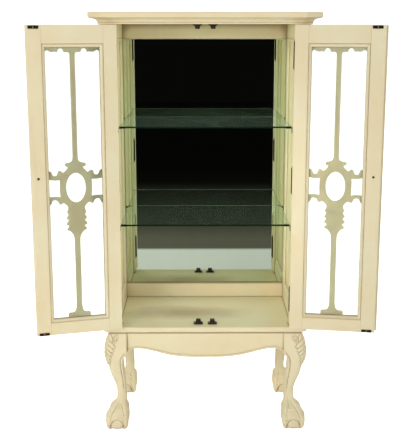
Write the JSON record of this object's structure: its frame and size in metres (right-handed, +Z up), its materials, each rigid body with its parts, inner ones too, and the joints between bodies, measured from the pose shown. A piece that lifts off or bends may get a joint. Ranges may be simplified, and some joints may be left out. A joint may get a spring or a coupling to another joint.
{
  "type": "display cabinet",
  "caption": "Ivory painted display cabinet on cabriole legs with ball-and-claw feet, mirror back, glass shelves and glazed double doors with pierced fretwork.",
  "frame": {"origin": "on the floor, under the middle of the case's width and under the middle of the depth that the case and its open doors take up", "axes": "+Z up, the open front faces -Y, +X is the right-hand side as seen from the front"},
  "size_m": [1.2144, 0.5284, 1.524],
  "materials": {
    "ivory_paint": "satin ivory paint on wood, slightly darker in joints and rubbed along edges",
    "backing_board": "plain unpainted backing board",
    "pane_glass": "clear polished sheet glass",
    "shelf_glass": "clear polished glass with green edges",
    "mirror_silver": "silvered back mirror",
    "dark_bronze": "dark bronzed brass, satin",
    "catch_plastic": "dark brown moulded plastic with a steel face"
  },
  "bodies": {
    "cabinet": {"top_board": "ivory_paint", "crown_front": "ivory_paint", "crown_cants": "ivory_paint", "crown_sides": "ivory_paint", "ceiling_board": "ivory_paint", "front_post_left": "ivory_paint", "front_post_right": "ivory_paint", "side_back_stile_left": "ivory_paint", "side_back_stile_right": "ivory_paint", "side_top_rail_left": "ivory_paint", "side_top_rail_right": "ivory_paint", "side_bottom_rail_left": "ivory_paint", "side_bottom_rail_right": "ivory_paint", "side_glass_left": "pane_glass", "side_glass_right": "pane_glass", "side_glass_stops": "ivory_paint", "back_frame_top_rail": "ivory_paint", "back_frame_bottom_rail": "ivory_paint", "mirror_plate": "mirror_silver", "back_panel": "backing_board", "base_board": "ivory_paint", "apron_front": "ivory_paint", "apron_left": "ivory_paint", "apron_right": "ivory_paint", "apron_back": "ivory_paint", "leg_front_left": "ivory_paint", "leg_front_right": "ivory_paint", "leg_back_left": "ivory_paint", "leg_back_right": "ivory_paint", "shelf_upper": "shelf_glass", "shelf_lower": "shelf_glass", "shelf_clips": "dark_bronze", "magnetic_catches": "catch_plastic", "hinge_frame_leaves": "dark_bronze", "hinge_pins": "dark_bronze"},
    "left_door": {"left_door_hinge_stile": "ivory_paint", "left_door_free_stile": "ivory_paint", "left_door_top_rail": "ivory_paint", "left_door_bottom_rail": "ivory_paint", "left_door_glass": "pane_glass", "left_door_glass_stops": "ivory_paint", "left_door_fretwork": "ivory_paint", "left_door_knob": "dark_bronze", "left_door_knob_screw": "dark_bronze", "left_door_strike_plates": "dark_bronze", "left_door_hinge_leaves": "dark_bronze"},
    "right_door": {"right_door_hinge_stile": "ivory_paint", "right_door_free_stile": "ivory_paint", "right_door_top_rail": "ivory_paint", "right_door_bottom_rail": "ivory_paint", "right_door_glass": "pane_glass", "right_door_glass_stops": "ivory_paint", "right_door_fretwork": "ivory_paint", "right_door_knob": "dark_bronze", "right_door_knob_screw": "dark_bronze", "right_door_strike_plates": "dark_bronze", "right_door_hinge_leaves": "dark_bronze", "right_door_astragal": "ivory_paint"}
  },
  "joints": [
    {"name": "left_door_hinge", "type": "hinge", "parent": "cabinet", "child": "left_door", "pos_m": [-0.30675, -0.165, 0.9435], "axis": [0, 0, 1], "range_deg": [-13.5, 164.5]},
    {"name": "right_door_hinge", "type": "hinge", "parent": "cabinet", "child": "right_door", "pos_m": [0.30675, -0.165, 0.9435], "axis": [0, 0, 1], "range_deg": [-171, 7]}
  ]
}
